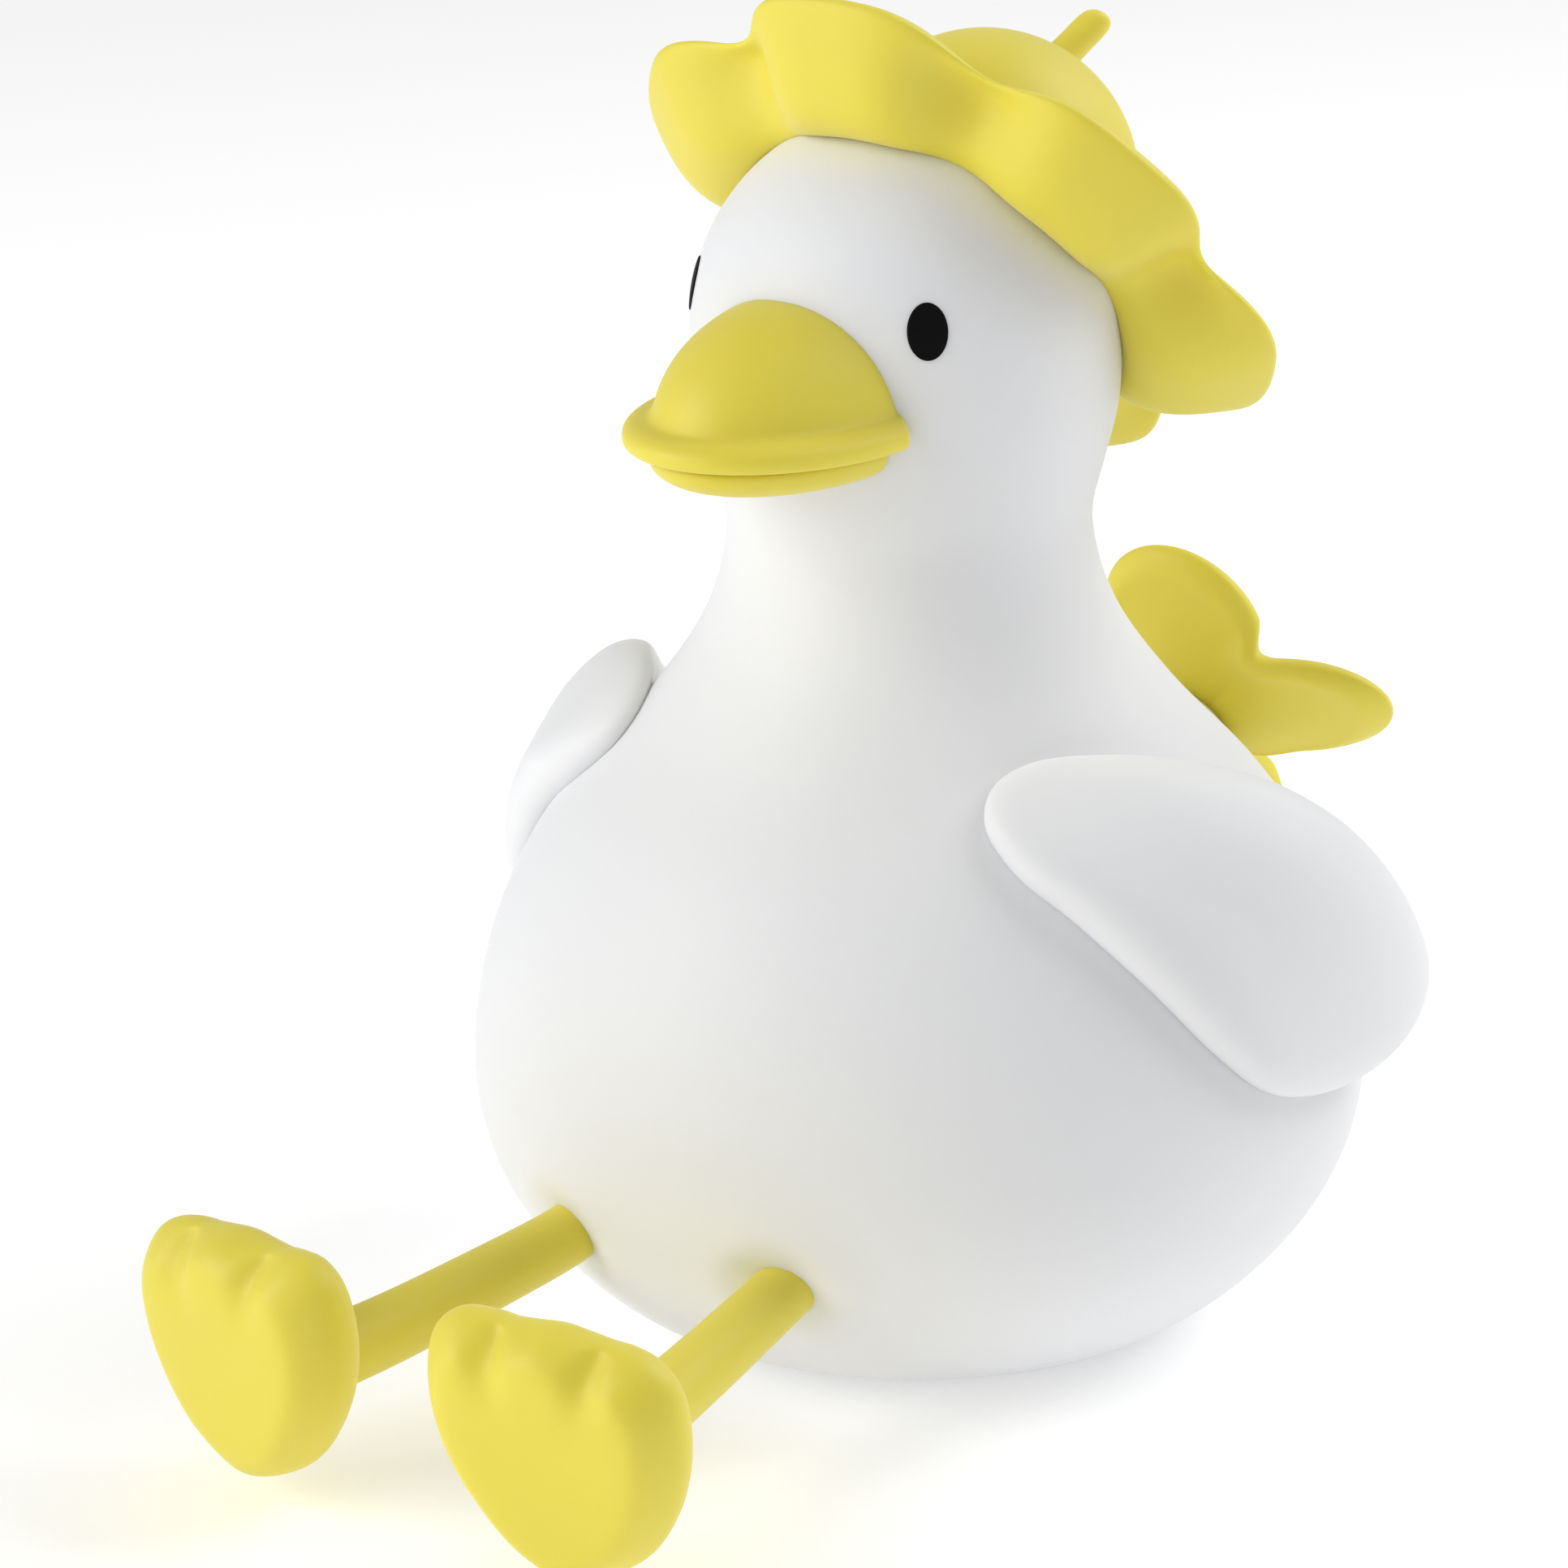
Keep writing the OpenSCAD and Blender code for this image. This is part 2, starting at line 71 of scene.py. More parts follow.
# ---------------------------------------------------------------- numbers shared with the CAD
LEAN = math.radians(2.3)
HEAD_Z = 118.0
HEAD_R = 24.4
KNOTS = [
    (0, 29.9), (4, 37), (9, 43), (16, 48.3), (23, 51.2), (31, 52.2), (42, 50.6), (52, 47),
    (62, 40.8), (73, 31), (84, 23.6), (95, 20.8), (102, 22.3), (109, 24), (HEAD_Z, HEAD_R),
]
HAT_TILT = math.radians(49)
LIP_Z = 110.0
BILL_ROOT = 24.0


def clamp(t, lo=0.0, hi=1.0):
    return max(lo, min(hi, t))


def smooth(t):
    t = clamp(t)
    return t * t * (3 - 2 * t)


def lerp(a, b, t):
    return a + (b - a) * t


def bump(x, width):
    return math.exp(-(x / width) ** 2)


def slope(i):
    if i == 0:
        return 2.05
    if i == len(KNOTS) - 1:
        return 0.0
    return (KNOTS[i + 1][1] - KNOTS[i - 1][1]) / (KNOTS[i + 1][0] - KNOTS[i - 1][0])


def body_r(z):
    """Radius of the skin at a height on the body's own axis."""
    if z >= HEAD_Z:
        return math.sqrt(max(0.0, HEAD_R**2 - (z - HEAD_Z) ** 2))
    i = 0
    while i < len(KNOTS) - 2 and z >= KNOTS[i + 1][0]:
        i += 1
    (z0, r0), (z1, r1) = KNOTS[i], KNOTS[i + 1]
    h = z1 - z0
    t = (z - z0) / h
    return (
        (2 * t**3 - 3 * t**2 + 1) * r0
        + (t**3 - 2 * t**2 + t) * h * slope(i)
        + (3 * t**2 - 2 * t**3) * r1
        + (t**3 - t**2) * h * slope(i + 1)
    )


def leaned(p):
    x, y, z = p
    return Vector((x, y * math.cos(LEAN) - z * math.sin(LEAN), y * math.sin(LEAN) + z * math.cos(LEAN)))


def on_skin(angle, z, off=0.0):
    """A point on the skin: angle in degrees round the body from the duck's left, height, distance off it."""
    a = math.radians(angle)
    r = body_r(z)
    s = (body_r(z + 0.4) - body_r(z - 0.4)) / 0.8
    n = Vector((1, s))
    n.normalize()
    rr = r + off * n[0]
    zz = z - off * n[1]
    return leaned((rr * math.cos(a), rr * math.sin(a), zz))


# ---------------------------------------------------------------- mesh helpers
def new_mesh(name, verts, faces, level=0):
    mesh = bpy.data.meshes.new(name)
    mesh.from_pydata([Vector(v) * MM for v in verts], [], faces)
    mesh.validate()
    bm = bmesh.new()
    bm.from_mesh(mesh)
    bmesh.ops.remove_doubles(bm, verts=bm.verts, dist=1e-6)
    bmesh.ops.recalc_face_normals(bm, faces=bm.faces)
    bm.to_mesh(mesh)
    bm.free()
    mesh.polygons.foreach_set("use_smooth", [True] * len(mesh.polygons))
    obj = bpy.data.objects.new(name, mesh)
    bpy.context.scene.collection.objects.link(obj)
    if level:
        subdivide(obj, level)
    return obj


def subdivide(obj, level):
    mod = obj.modifiers.new("Subdivision", "SUBSURF")
    mod.levels = level
    mod.render_levels = level


def grid(name, rows, loop_u=False, cap_first=False, cap_last=False, level=0):
    """Closed rows of points joined into quads; v runs round a row, u from row to row."""
    nv = len(rows[0])
    verts = [p for row in rows for p in row]
    faces = []
    nu = len(rows)
    for i in range(nu if loop_u else nu - 1):
        for j in range(nv):
            a = i * nv + j
            b = i * nv + (j + 1) % nv
            c = ((i + 1) % nu) * nv + (j + 1) % nv
            d = ((i + 1) % nu) * nv + j
            faces.append((a, b, c, d))
    if cap_first:
        verts.append(sum((Vector(p) for p in rows[0]), Vector()) / nv)
        k = len(verts) - 1
        faces += [(k, (j + 1) % nv, j) for j in range(nv)]
    if cap_last:
        verts.append(sum((Vector(p) for p in rows[-1]), Vector()) / nv)
        k = len(verts) - 1
        base = (nu - 1) * nv
        faces += [(k, base + j, base + (j + 1) % nv) for j in range(nv)]
    return new_mesh(name, verts, faces, level)


def span(four, f):
    """A Catmull-Rom span: the point a fraction f of the way from the second to the third of four points."""
    return tuple(
        0.5 * (2 * b + (c - a) * f + (2 * a - 5 * b + 4 * c - d) * f * f + (3 * b - a - 3 * c + d) * f**3)
        for a, b, c, d in zip(*four)
    )


def spline_loop(points, t):
    """Closed Catmull-Rom curve through the points, t from 0 to 1 once round."""
    n = len(points)
    x = (t % 1.0) * n
    i = int(x)
    return span([points[(i + k - 1) % n] for k in range(4)], x - i)


def spline(points, t):
    """Open Catmull-Rom curve through the points, t from 0 to 1."""
    n = len(points) - 1
    x = clamp(t) * n
    i = min(int(x), n - 1)
    return span([points[max(0, min(n, i + k))] for k in (-1, 0, 1, 2)], x - i)


def ring(r, h, steps):
    """Points round a circle in the plane at height h."""
    return [Vector((r * math.cos(2 * math.pi * j / steps), r * math.sin(2 * math.pi * j / steps), h))
            for j in range(steps)]


def puff(place, rings, steps):
    """Rows over a pillow shape from place(share of the way out, turn, side): its front, then its back."""
    rows = [[place(r, j / steps, 1) for j in range(steps)] for r in rings]
    rows += [[place(r, j / steps, -1) for j in range(steps)] for r in reversed(rings[:-1])]
    return rows


def mirrored(obj, name):
    copy = bpy.data.objects.new(name, obj.data.copy())
    copy.data.name = name
    bpy.context.scene.collection.objects.link(copy)
    for v in copy.data.vertices:
        v.co.x = -v.co.x
    copy.data.flip_normals()
    for m in obj.modifiers:
        if m.type == "SUBSURF":
            subdivide(copy, m.levels)
    return copy


# ---------------------------------------------------------------- materials
def node_material(name, colour, rough=0.5, tint=0.03, scale=60.0, bump_size=0.00004, grain=2600.0,
                  soft=0.0, soft_colour=(1.0, 0.9, 0.8), sheen=0.0, metal=0.0, coat=0.0, spec=0.5,
                  streak=(1, 1, 1), emit=0.0):
    """Principled shader with a slow drift of colour and roughness and a fine grain, in object space."""
    mat = bpy.data.materials.new(name)
    mat.use_nodes = True
    nt = mat.node_tree
    nodes, link = nt.nodes, nt.links.new
    nodes.clear()
    out = nodes.new("ShaderNodeOutputMaterial")
    bsdf = nodes.new("ShaderNodeBsdfPrincipled")
    link(bsdf.outputs["BSDF"], out.inputs["Surface"])
    coord = nodes.new("ShaderNodeTexCoord")
    drift = nodes.new("ShaderNodeTexNoise")
    drift.inputs["Scale"].default_value = scale
    drift.inputs["Detail"].default_value = 3
    mapping = nodes.new("ShaderNodeMapping")
    mapping.inputs["Scale"].default_value = streak
    link(coord.outputs["Object"], mapping.inputs["Vector"])
    link(mapping.outputs["Vector"], drift.inputs["Vector"])
    ramp = nodes.new("ShaderNodeValToRGB")
    ramp.color_ramp.elements[0].position = 0.3
    ramp.color_ramp.elements[1].position = 0.7
    dark = [c * (1 - tint) for c in colour]
    light = [min(1.0, c * (1 + tint)) for c in colour]
    ramp.color_ramp.elements[0].color = (*dark, 1)
    ramp.color_ramp.elements[1].color = (*light, 1)
    link(drift.outputs["Fac"], ramp.inputs["Fac"])
    link(ramp.outputs["Color"], bsdf.inputs["Base Color"])
    spread = nodes.new("ShaderNodeMapRange")
    spread.inputs["To Min"].default_value = clamp(rough - 0.06)
    spread.inputs["To Max"].default_value = clamp(rough + 0.06)
    link(drift.outputs["Fac"], spread.inputs["Value"])
    link(spread.outputs["Result"], bsdf.inputs["Roughness"])
    fine = nodes.new("ShaderNodeTexNoise")
    fine.inputs["Scale"].default_value = grain
    fine.inputs["Detail"].default_value = 2
    link(mapping.outputs["Vector"], fine.inputs["Vector"])
    relief = nodes.new("ShaderNodeBump")
    relief.inputs["Strength"].default_value = 0.35
    relief.inputs["Distance"].default_value = bump_size
    link(fine.outputs["Fac"], relief.inputs["Height"])
    link(relief.outputs["Normal"], bsdf.inputs["Normal"])
    bsdf.inputs["Metallic"].default_value = metal
    bsdf.inputs["Specular IOR Level"].default_value = spec
    bsdf.inputs["Coat Weight"].default_value = coat
    bsdf.inputs["Sheen Weight"].default_value = sheen
    bsdf.inputs["Sheen Roughness"].default_value = 0.5
    if soft:
        bsdf.inputs["Subsurface Weight"].default_value = soft
        bsdf.inputs["Subsurface Radius"].default_value = soft_colour
        bsdf.inputs["Subsurface Scale"].default_value = 0.003
    if emit:
        bsdf.inputs["Emission Color"].default_value = (*colour, 1)
        bsdf.inputs["Emission Strength"].default_value = emit
    return mat


WHITE = node_material("white_silicone_look", (0.805, 0.81, 0.83), rough=0.52, tint=0.012, scale=25,
                      soft=0.35, soft_colour=(1.0, 0.98, 0.96), sheen=0.08, spec=0.35)
YELLOW = node_material("yellow_silicone_look", (0.755, 0.645, 0.032), rough=0.6, tint=0.02, scale=35,
                       soft=0.25, soft_colour=(1.0, 0.8, 0.25), sheen=0.15, spec=0.9)
INK = node_material("black_ink_look", (0.003, 0.003, 0.003), rough=0.6, tint=0.2, scale=300, grain=4000,
                    spec=0.08)
PLASTIC = node_material("white_plastic_look", (0.74, 0.74, 0.72), rough=0.45, tint=0.015, scale=40,
                        bump_size=0.00003)
FROST = node_material("frosted_plastic_look", (0.84, 0.84, 0.80), rough=0.6, tint=0.01, scale=40, soft=0.5)
STUD = node_material("stud_silicone_look", (0.72, 0.72, 0.70), rough=0.5, tint=0.02, scale=200, soft=0.3)
PAD = node_material("pad_rubber_look", (0.06, 0.06, 0.063), rough=0.7, tint=0.1, scale=400, bump_size=0.00006)
STEEL = node_material("steel_look", (0.56, 0.56, 0.58), rough=0.32, tint=0.06, scale=500, metal=1.0,
                      streak=(1, 1, 12), bump_size=0.00001)
CELL = node_material("cell_sleeve_look", (0.02, 0.07, 0.30), rough=0.35, tint=0.08, scale=120, coat=0.3)
BOARD = node_material("green_board_look", (0.01, 0.11, 0.045), rough=0.38, tint=0.15, scale=350, coat=0.4)
CHIP = node_material("chip_look", (0.012, 0.012, 0.013), rough=0.5, tint=0.2, scale=900)
LENS = node_material("red_lens_look", (0.60, 0.03, 0.02), rough=0.15, tint=0.05, scale=300, coat=0.6)
LAMP_BOARD = node_material("white_board_look", (0.78, 0.78, 0.75), rough=0.4, tint=0.02, scale=200, coat=0.3)
LAMP = node_material("lamp_lens_look", (0.86, 0.76, 0.22), rough=0.2, tint=0.04, scale=500, coat=0.5)
RED_WIRE = node_material("red_wire_look", (0.5, 0.01, 0.01), rough=0.4, tint=0.06, scale=500)
BLACK_WIRE = node_material("black_wire_look", (0.01, 0.01, 0.01), rough=0.4, tint=0.1, scale=500)
BUTTON = node_material("button_plastic_look", (0.80, 0.64, 0.14), rough=0.4, tint=0.03, scale=120)

CARRIED = {
    "base_plate": PLASTIC, "battery_cradle": PLASTIC, "drum": PLASTIC, "lamp_dome": FROST,
    "left_hip_stud": STUD, "right_hip_stud": STUD, "anti_slip_pads": PAD, "base_screws": STEEL,
    "battery": CELL, "control_board": BOARD, "port_board": BOARD, "control_chips": CHIP,
    "usb_tongue": CHIP, "tact_switch": CHIP, "tap_sensor": STEEL, "usb_c_port": STEEL,
    "status_light": LENS, "lamp_board": LAMP_BOARD, "lamps_ring": LAMP, "battery_leads": RED_WIRE,
    "lamp_leads": RED_WIRE, "port_leads": BLACK_WIRE, "power_button": BUTTON,
}
for node, mat in CARRIED.items():
    data = frame["nodes"][node].data
    data.materials.clear()
    data.materials.append(mat)


def finish(obj, mat, body, slot, *nodes):
    obj.data.materials.clear()
    obj.data.materials.append(mat)
    if nodes:
        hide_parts(*nodes)
    if body:
        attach(obj, body)


# ---------------------------------------------------------------- skin
HIP = joint("left_hip")
ANKLE = joint("left_ankle")


def make_skin():
    steps = 160
    outer = [(31.2, 0.5), (32.1, 0.75)] + [(None, z) for z in (1.6, 2.8, 4.5, 6.5, 9)]
    outer += [(None, float(z)) for z in range(12, 118, 2)]
    for a in range(0, 90, 6):
        outer.append((HEAD_R * math.cos(math.radians(a)), HEAD_Z + HEAD_R * math.sin(math.radians(a))))
    inner = [(28.45, 0.6), (28.4, 2.1), (24.7, 2.2), (24.6, 4.9)]
    rows = []
    for r, z in reversed(inner):
        rows.append(ring(r, z, steps))
    for r, z in outer:
        row = []
        for flat in ring(body_r(z) if r is None else r, z, steps):
            p = leaned(flat)
            # The foot of the skin stays level on the base plate.
            if z < 4:
                p = flat.lerp(p, smooth((z - 0.5) / 3.5))
            row.append(p)
        rows.append(row)
    # A shallow round seat in the skin where each leg grows out of it.
    for row in rows[len(inner):24]:
        for p in row:
            for side in (1, -1):
                hip = Vector((side * HIP.x, HIP.y, HIP.z))
                outward = (hip - Vector((0, 0, hip.z))).normalized()
                d = (p - hip).length
                p += outward * (-0.9 * bump(d - 3.5, 2.2) + 0.35 * bump(d - 7.5, 2.5))
    obj = grid("skin", rows, cap_last=True, level=1)
    finish(obj, WHITE, "body", "white_silicone", "body_skin")


make_skin()


# ---------------------------------------------------------------- wings
WING = [
    (-41.5, 69.5), (-37.5, 73), (-27, 74.3), (-13, 72.8), (0, 69), (11, 63.5), (20, 56.3), (25.6, 48),
    (26.4, 40.2), (19.5, 35), (7.5, 34), (-5, 37), (-13, 43), (-22, 52.5), (-30.5, 60), (-38, 65),
]


def make_wing():
    steps = 96
    mid = (-9, 55.5)

    def stand_off(a, z):
        """Distance off the skin: least along the front lower edge, most at the back and the top."""
        run = (a + 41.5) * 0.785
        drop = 71 - z
        along = run * 0.72 + drop * 0.69
        across = run * 0.69 - drop * 0.72
        return 0.9 + 6.4 * smooth(along / 42) * smooth((across + 4) / 19)

    def place(rho, t, side):
        a, z = spline_loop(WING, t)
        a = lerp(mid[0], a, rho)
        z = lerp(mid[1], z, rho)
        off = stand_off(a, z)
        rim = math.sqrt(max(0.0, 1 - rho**3.4))
        back = smooth((a + 30) / 45)
        if side > 0:
            off += 4.3 * rim - 1.9 * back * bump(rho - 0.1, 0.42) + 0.5 * back * bump(rho - 0.8, 0.15)
        else:
            off -= min(3.4 * rim, off + 1.5)
        return on_skin(a, z, off)

    rings = [0.12, 0.25, 0.38, 0.5, 0.62, 0.72, 0.8, 0.87, 0.92, 0.96, 0.985, 1.0]
    return grid("left_wing_puff", puff(place, rings, steps), cap_first=True, cap_last=True, level=1)


left = make_wing()
right = mirrored(left, "right_wing_puff")
finish(left, WHITE, "body", "white_silicone", "left_wing")
finish(right, WHITE, "body", "white_silicone", "right_wing")


# ---------------------------------------------------------------- bill
# How far in front of the bill's root the lip ends in round corners.
LIP_AHEAD = 2.6


def half_ring(width, length, z, root, back, steps=72):
    """A full loop: half an ellipse in front of the root, closed behind it inside the head."""
    row = []
    for j in range(steps):
        a = 2 * math.pi * j / steps
        y = math.sin(a) * (length if math.sin(a) < 0 else back)
        row.append(Vector((width * math.cos(a), y - root, z)))
    return row


def bill_rows(profile, half_width, reach, corner, sag):
    """Rings of the bill: the lip's own rings end in round corners in front of the head."""
    rows = []
    for wide, long, height, lip in profile:
        root = BILL_ROOT + lip * LIP_AHEAD
        back = lerp(5.5, 4.4, lip)
        row = half_ring(half_width * wide, (reach - lip * LIP_AHEAD) * long, LIP_Z + height, root, back)
        for p in row:
            ahead = clamp((-BILL_ROOT - p.y) / reach)
            side = abs(p.x) / half_width
            p.z += corner * side**3 - 0.35 * ahead - sag * max(0.0, height) * ahead * ahead
        rows.append(row)
    return rows


def make_bill():
    half_width, reach, corner = 15.7, 24.4, -0.3
    # (share of the width, share of the length, height over the lip, how much of a lip it is)
    upper = [
        (0.50, 0.60, 0.25, 0), (0.78, 0.86, 0.15, 0.5), (0.93, 0.95, -0.1, 1), (1.0, 0.995, 0.2, 1),
        (1.02, 1.015, 0.9, 1), (1.02, 1.015, 1.8, 1), (0.99, 0.99, 2.6, 1), (0.93, 0.945, 3.05, 0.8),
        (0.865, 0.895, 3.2, 0.35), (0.845, 0.875, 3.9, 0), (0.825, 0.86, 5.4, 0), (0.785, 0.82, 7.3, 0),
        (0.725, 0.755, 9.2, 0), (0.635, 0.665, 11.0, 0), (0.51, 0.535, 12.7, 0), (0.35, 0.37, 14.0, 0),
        (0.18, 0.19, 14.75, 0),
    ]
    rows = bill_rows(upper, half_width, reach, corner, 0.05)
    obj = grid("upper_bill_dome", rows, cap_first=True, cap_last=True, level=2)
    finish(obj, YELLOW, "body", "yellow_silicone", "upper_bill")
    lower = [
        (0.80, 0.86, -0.25, 1), (0.835, 0.885, -0.7, 1), (0.83, 0.885, -1.6, 1), (0.79, 0.85, -2.7, 0.9),
        (0.70, 0.76, -3.8, 0.7), (0.54, 0.60, -4.7, 0.4), (0.33, 0.36, -5.3, 0.2), (0.15, 0.15, -5.6, 0),
    ]
    rows = bill_rows(lower, half_width, reach, corner, 0)
    obj = grid("lower_bill_scoop", rows, cap_first=True, cap_last=True, level=2)
    finish(obj, YELLOW, "body", "yellow_silicone", "lower_bill")


make_bill()


# ---------------------------------------------------------------- eyes
def make_eye(node, name, wide, round_by):
    local = Matrix.Rotation(-LEAN, 3, "X") @ centre(node)
    angle = math.degrees(math.atan2(local.y, local.x)) + round_by
    tall = 3.15
    steps = 48
    rows = []
    for rho, off in ((0.2, 0.16), (0.5, 0.155), (0.78, 0.14), (0.93, 0.12), (1.0, 0.06), (1.0, -0.4)):
        row = []
        for j in range(steps):
            t = 2 * math.pi * j / steps
            z = local.z + tall * rho * math.sin(t)
            a = angle + math.degrees(wide * rho * math.cos(t) / body_r(z))
            row.append(on_skin(a, z, off))
        rows.append(row)
    obj = grid(name, rows, cap_first=True, cap_last=True, level=1)
    finish(obj, INK, "body", "black_ink", node)


make_eye("left_eye", "left_eye_print", 2.3, 0.3)
make_eye("right_eye", "right_eye_print", 2.0, -10.0)


# ---------------------------------------------------------------- hat
HEAD_C = leaned((0, 0, HEAD_Z))
HAT = Matrix.Translation(HEAD_C) @ Matrix.Rotation(-HAT_TILT, 4, "X")


def petal_turn(angle, count, first):
    """How far a direction lies from the middle of its petal: -1 and 1 are the valleys beside it."""
    w = 360 / count
    return ((angle - first + w / 2) % w - w / 2) / (w / 2)


def make_brim():
    hole, reach, notch = 22.4, 39.7, 6.2
    steps = 288
    rings = [0.0, 0.05, 0.11, 0.2, 0.32, 0.45, 0.58, 0.7, 0.8, 0.88, 0.94, 0.98, 1.0]

    def place(q, a, side):
        d = petal_turn(a, 6, -30)
        valley = (0.5 - 0.5 * math.cos(math.pi * d)) ** 2.4
        # The petal over the left eye is a little shorter than the others.
        short = 2.2 * bump(petal_turn(a, 1, -30) * 180, 24)
        r = lerp(hole, reach - short - notch * valley, q)
        middle = 10.5 + 3.1 * smooth(q) - 0.3 * valley * q
        rim = math.sqrt(max(0.0, 1 - q**4))
        full = (1 - valley) * max(0.0, math.sin(math.pi * q**0.9)) ** 0.8
        fold = valley * bump(q - 0.72, 0.26)
        if side > 0:
            h = middle + rim * (1.9 + 2.0 * full) + 0.8 * fold
        else:
            h = middle - rim * (2.1 + 3.9 * full) + 3.2 * fold
        return HAT @ Vector((r * math.cos(math.radians(a)), r * math.sin(math.radians(a)), h))

    rows = [[place(q, 360 * j / steps, -1) for j in range(steps)] for q in rings]
    rows += [[place(q, 360 * j / steps, 1) for j in range(steps)] for q in reversed(rings[:-1])]
    obj = grid("hat_petals", rows, loop_u=True, level=1)
    finish(obj, YELLOW, "body", "yellow_silicone", "hat_brim")


def make_crown():
    steps = 96
    profile = [(22.6, 9.4), (23.6, 10.6), (23.6, 11.8), (22.4, 13.4), (20.8, 15.4), (19.2, 17.6)]
    top, round_r = 19.9, 17.75
    for a in range(6, 90, 6):
        profile.append((round_r * math.cos(math.radians(a)), top + round_r * math.sin(math.radians(a))))
    rows = [[HAT @ p for p in ring(r, h, steps)] for r, h in profile]
    obj = grid("hat_dome", rows, cap_last=True, level=1)
    finish(obj, YELLOW, "body", "yellow_silicone", "hat_crown")
    lo = top + round_r - 0.5
    stem = [(3.2, lo), (2.6, lo + 0.5), (2.15, lo + 1.2), (2.0, lo + 2.2), (1.93, lo + 4), (1.95, lo + 6.5),
            (1.85, lo + 7.5), (1.4, lo + 8.1), (0.7, lo + 8.35)]
    steps = 40
    rows = []
    for r, h in stem:
        middle = Vector((0.1 + 0.33 * (h - lo), 0, 0))
        rows.append([HAT @ (middle + p) for p in ring(r, h, steps)])
    obj = grid("hat_stalk", rows, cap_last=True, level=1)
    finish(obj, YELLOW, "body", "yellow_silicone", "hat_stem")


make_brim()
make_crown()


# ---------------------------------------------------------------- tail
TAIL_PITCH = math.radians(70)
TAIL_AT = Matrix.Translation(Vector((0, 57, 54.7))) @ Matrix.Rotation(-TAIL_PITCH, 4, "X")


def make_tail():
    nub = ((18, -21), (15.2, -17), (12.6, -13), (10.4, -9), (8.9, -6), (7.9, -3.6), (7.2, -2.4), (6.0, -1.9),
           (4, -1.8))
    rows = [[TAIL_AT @ p for p in ring(r, h, 72)] for r, h in nub]
    obj = grid("tail_nub", rows, cap_first=True, cap_last=True, level=1)
    finish(obj, WHITE, "body", "white_silicone", "tail")

    steps = 240
    rings = [0.0, 0.1, 0.25, 0.42, 0.58, 0.7, 0.8, 0.87, 0.92, 0.96, 0.985, 1.0]
    # Each petal is an ellipse: direction, distance of its middle, half length and half width.
    raised, blend_power = 18, 12
    petals = [(-90, 13.9, 11.2, 11.3), (-raised, 15.9, 13.3, 8.5), (180 + raised, 15.9, 13.3, 8.5),
              (90, 13.0, 10.0, 9.5)]

    def outline(a):
        total = 3.0**blend_power
        for turn, away, half_l, half_w in petals:
            c, s = math.cos(math.radians(a - turn)), math.sin(math.radians(a - turn))
            k = c * c / half_l**2 + s * s / half_w**2
            b = away * c / half_l**2
            inside = b * b - k * (away**2 / half_l**2 - 1)
            if inside > 0 and c > 0:
                total += ((b + math.sqrt(inside)) / k) ** blend_power
        return total ** (1 / blend_power)

    def place(q, a, side):
        r = lerp(0.6, outline(a), q)
        x, y = r * math.cos(math.radians(a)), r * math.sin(math.radians(a))
        # The side petals lean forwards at their upper edge.
        axis = -abs(x) * math.tan(math.radians(raised))
        beside = y - axis
        twist = math.radians(20) * smooth((abs(x) - 5) / 9) * (1 - smooth((abs(beside) - 8.5) / 4))
        lift = -beside * math.sin(twist)
        y = axis + beside * math.cos(twist)
        rim = math.sqrt(max(0.0, 1 - q**7))
        roll = 0.9 * bump(q - 0.9, 0.07)
        rise = 2.6 * smooth(q) - 0.4 - lift
        if side > 0:
            h = rise + rim * (2.0 + roll)
        else:
            h = rise - rim * (1.9 + roll) + 0.5 * bump(q - 0.5, 0.25)
        return TAIL_AT @ Vector((x, y, h))

    rows = [[place(q, 360 * j / steps, -1) for j in range(steps)] for q in rings]
    rows += [[place(q, 360 * j / steps, 1) for j in range(steps)] for q in reversed(rings[:-1])]
    obj = grid("tail_petals", rows, cap_first=True, cap_last=True, level=1)
    finish(obj, YELLOW, "body", "yellow_silicone", "tail_flower")

    heart = ((5.2, -0.6), (5.5, 1.2), (5.3, 2.6), (4.5, 3.9), (3.1, 4.8), (1.5, 5.2))
    rows = [[TAIL_AT @ p for p in ring(r, h, 48)] for r, h in heart]
    obj = grid("tail_heart", rows, cap_first=True, cap_last=True, level=1)
    finish(obj, YELLOW, "body", "yellow_silicone", "tail_button")


make_tail()


# ---------------------------------------------------------------- legs and feet
def make_leg():
    steps = 40
    count = 26
    path = [HIP + Vector((0, 4.5, 1.2)), HIP, HIP.lerp(ANKLE, 0.33) + Vector((0, 0, -0.6)),
            HIP.lerp(ANKLE, 0.68) + Vector((0, 0, -0.9)), ANKLE + Vector((0, 1.5, -0.6)),
            ANKLE + Vector((0.1, -1.5, -0.7))]
    rows = []
    for i in range(count + 1):
        t = i / count
        p = Vector(spline(path, t))
        q = Vector(spline(path, min(1.0, t + 0.01))) - Vector(spline(path, max(0.0, t - 0.01)))
        q.normalize()
        side = q.cross(Vector((0, 0, 1))).normalized()
        up = side.cross(q).normalized()
        rows.append([p + side * c.x + up * c.y for c in ring(lerp(3.5, 4.2, smooth(t)), 0, steps)])
    return grid("left_leg_tube", rows, cap_first=True, cap_last=True, level=1)


FOOT = [
    (0, 0.0), (4.8, 0.8), (9.4, 3.9), (12.8, 9.2), (14.7, 15.2), (15.1, 20.6), (14.4, 24.6), (12.2, 27.4),
    (9.2, 28.6), (6.2, 28.9), (3.2, 29.4), (0.2, 29.8), (-3.0, 29.5), (-6.0, 29.3), (-8.6, 29.6),
    (-11.9, 29.3), (-14.5, 26.6), (-15.4, 21.0), (-14.1, 14.3), (-10.7, 7.8), (-5.9, 2.4),
]


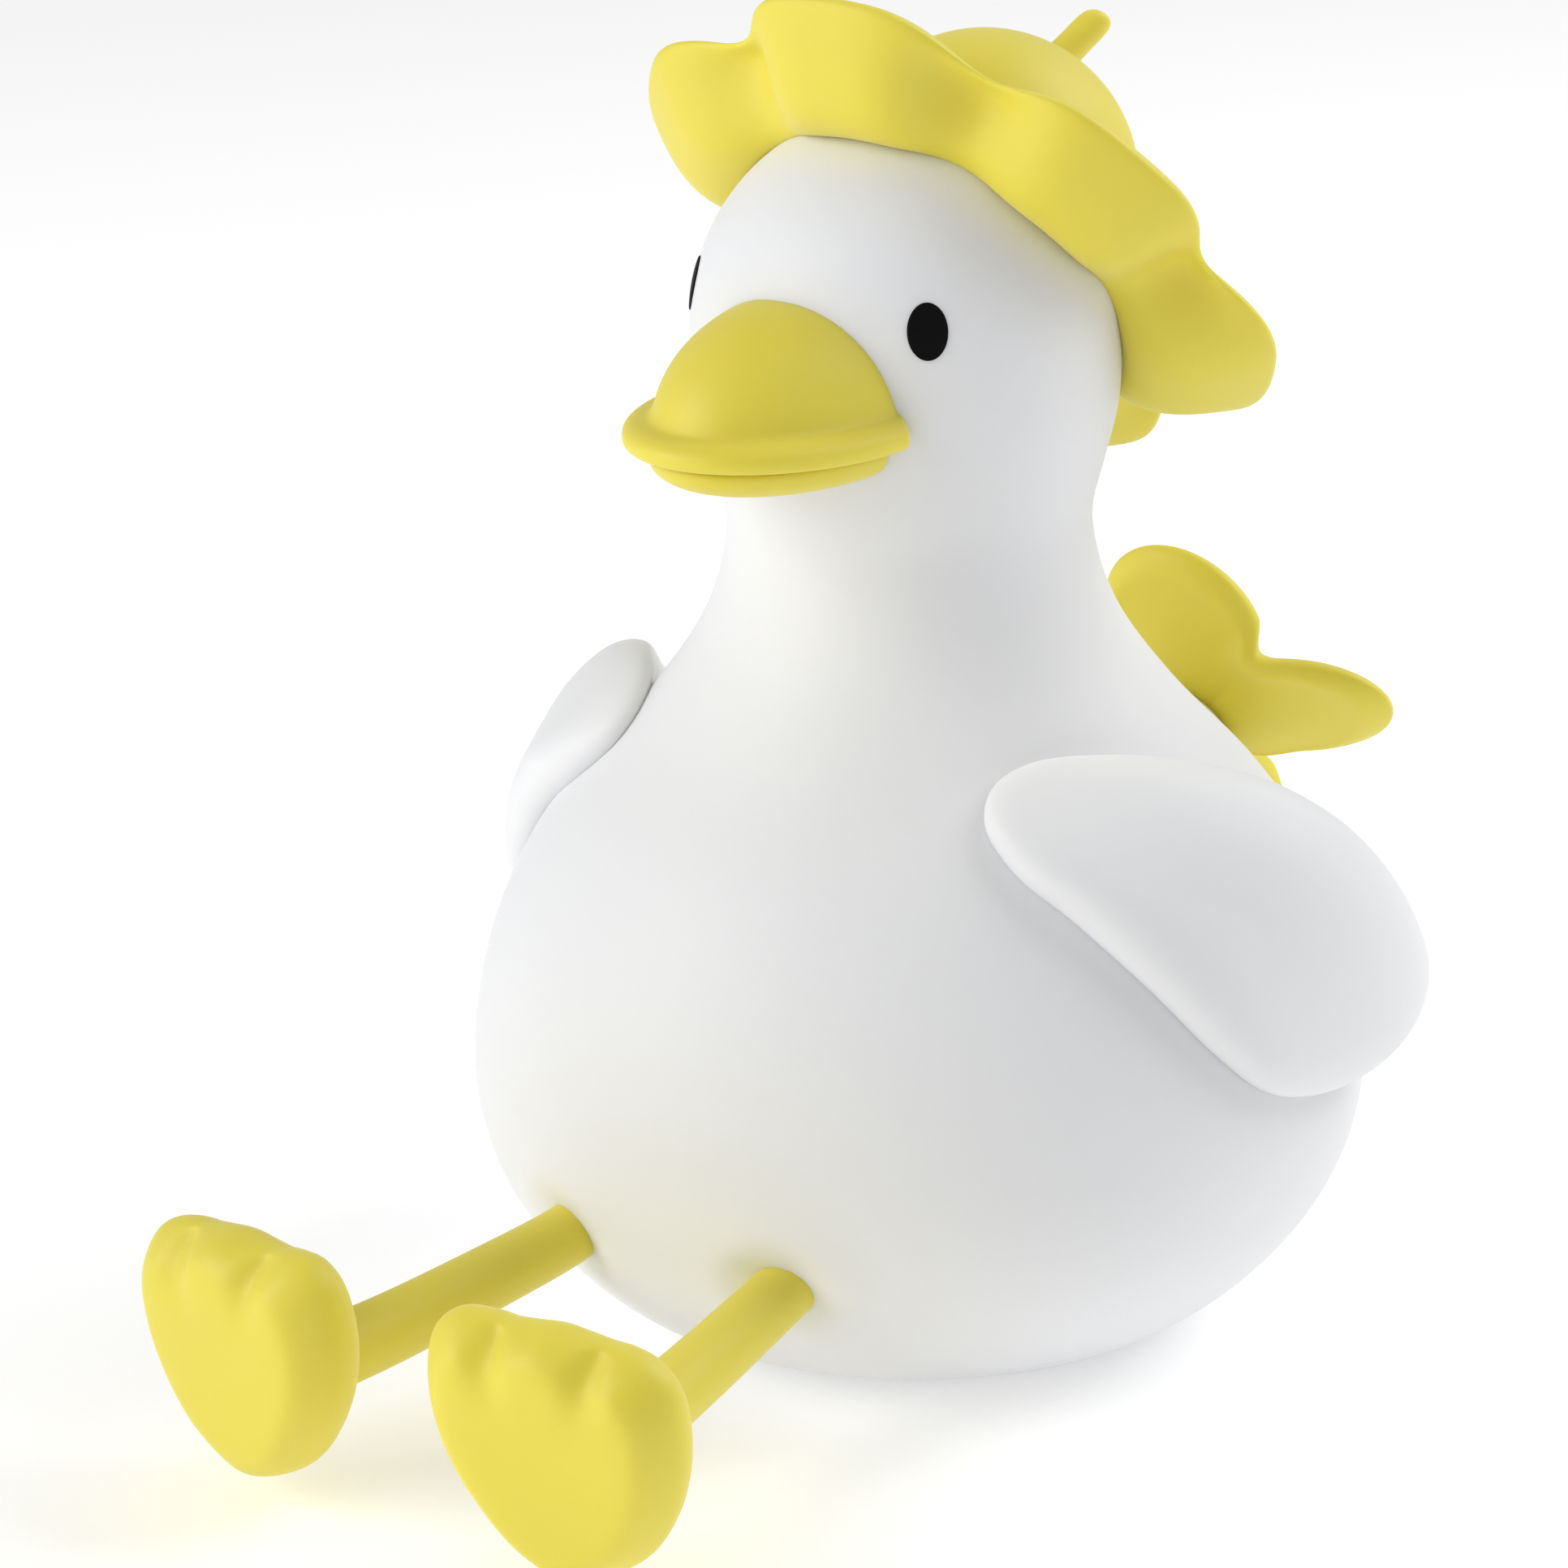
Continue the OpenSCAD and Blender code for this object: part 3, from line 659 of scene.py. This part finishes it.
def make_foot():
    steps = 144
    rings = [0.14, 0.28, 0.42, 0.54, 0.64, 0.71, 0.76, 0.8, 0.84, 0.88, 0.92, 0.95, 0.975, 0.99, 1.0]
    # The sole turns a little outwards and leans back.
    place_at = (
        Matrix.Translation(Vector((ANKLE.x + 1.0, ANKLE.y - 4.2, 2.9)))
        @ Matrix.Rotation(math.radians(8), 4, "Z")
        @ Matrix.Rotation(math.radians(10), 4, "X")
    )
    mid = (0.0, 15.4)

    def dent(x, z, x0, z0):
        """Short soft hollow under the gap between two toes."""
        down = z0 - z
        return bump(x - x0, 1.8 + 0.1 * max(0.0, down)) * (1 - smooth(down / 8.0))

    def place(rho, t, side):
        x, z = spline_loop(FOOT, t)
        x = lerp(mid[0], x, rho)
        z = lerp(mid[1], z, rho)
        if side > 0:
            # A flat sole, with a soft edge at both sides and a sloping wall behind that edge.
            past = 0.035 * math.log(1 + math.exp((rho - 0.8) / 0.035)) * smooth(abs(x) / 9)
            rim = math.sqrt(max(0.0, 1 - rho**9))
            y = -(6.0 - 14.0 * past) * rim
            y += 2.0 * (dent(x, z, 6.0, 28.4) + dent(x, z, -6.0, 28.8)) * smooth(rim * 1.2)
        else:
            y = 6.8 * (1 - rho**2.4) ** 0.5
        return place_at @ Vector((x, y, z))

    return grid("left_paddle", puff(place, rings, steps), cap_first=True, cap_last=True, level=1)


leg = make_leg()
leg_r = mirrored(leg, "right_leg_tube")
foot = make_foot()
foot_r = mirrored(foot, "right_paddle")
for obj, side in ((leg, "left"), (leg_r, "right")):
    finish(obj, YELLOW, None, "yellow_silicone", side + "_leg")
    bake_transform(obj)
for obj, side in ((foot, "left"), (foot_r, "right")):
    finish(obj, YELLOW, side + "_foot", "yellow_silicone", side + "_foot")


# ---------------------------------------------------------------- stage, lights, camera
def make_stage():
    size = 4.0
    mesh = bpy.data.meshes.new("floor")
    corners = [(-size, -size, 0), (size, -size, 0), (size, size, 0), (-size, size, 0)]
    mesh.from_pydata(corners, [], [(0, 1, 2, 3)])
    floor = bpy.data.objects.new("floor", mesh)
    bpy.context.scene.collection.objects.link(floor)
    look = node_material("floor_look", (0.86, 0.86, 0.86), rough=0.8, tint=0.003, scale=3, spec=0.1,
                         emit=0.36)
    mesh.materials.append(look)


def area_light(name, place, target, size, power):
    data = bpy.data.lights.new(name, "AREA")
    data.shape = "DISK"
    data.size = size
    data.energy = power
    obj = bpy.data.objects.new(name, data)
    bpy.context.scene.collection.objects.link(obj)
    obj.location = place
    obj.rotation_euler = (Vector(target) - Vector(place)).to_track_quat("-Z", "Y").to_euler()


make_stage()

world = bpy.data.worlds.new("studio")
bpy.context.scene.world = world
world.use_nodes = True
back = world.node_tree.nodes["Background"]
back.inputs["Color"].default_value = (1, 1, 1, 1)
back.inputs["Strength"].default_value = 0.43

azimuth, elevation, distance = math.radians(36.8), math.radians(18.0), 0.700
right = Vector((math.cos(azimuth), math.sin(azimuth), 0))
level = math.cos(elevation)
toward = Vector((math.sin(azimuth) * level, -math.cos(azimuth) * level, math.sin(elevation)))
lit = Vector((0, -0.01, 0.07))
area_light("key", lit - right * 1.05 + toward * 0.38 + Vector((0, 0, 0.42)), lit, 0.9, 8.2)
area_light("rim", lit + right * 0.7 - toward * 0.25 + Vector((0, 0, 0.75)), lit, 0.8, 5.8)
aim = right * -0.01657 + Vector((0, 0, 0.06178))
lens = bpy.data.cameras.new("camera")
lens.sensor_width = 36
lens.lens = 138.4
lens.clip_start = 0.05
lens.clip_end = 20
camera = bpy.data.objects.new("camera", lens)
bpy.context.scene.collection.objects.link(camera)
camera.location = aim + toward * distance
camera.rotation_euler = (-toward).to_track_quat("-Z", "Y").to_euler()
bpy.context.scene.camera = camera
bpy.context.scene.view_settings.view_transform = "Standard"
bpy.context.scene.view_settings.look = "None"
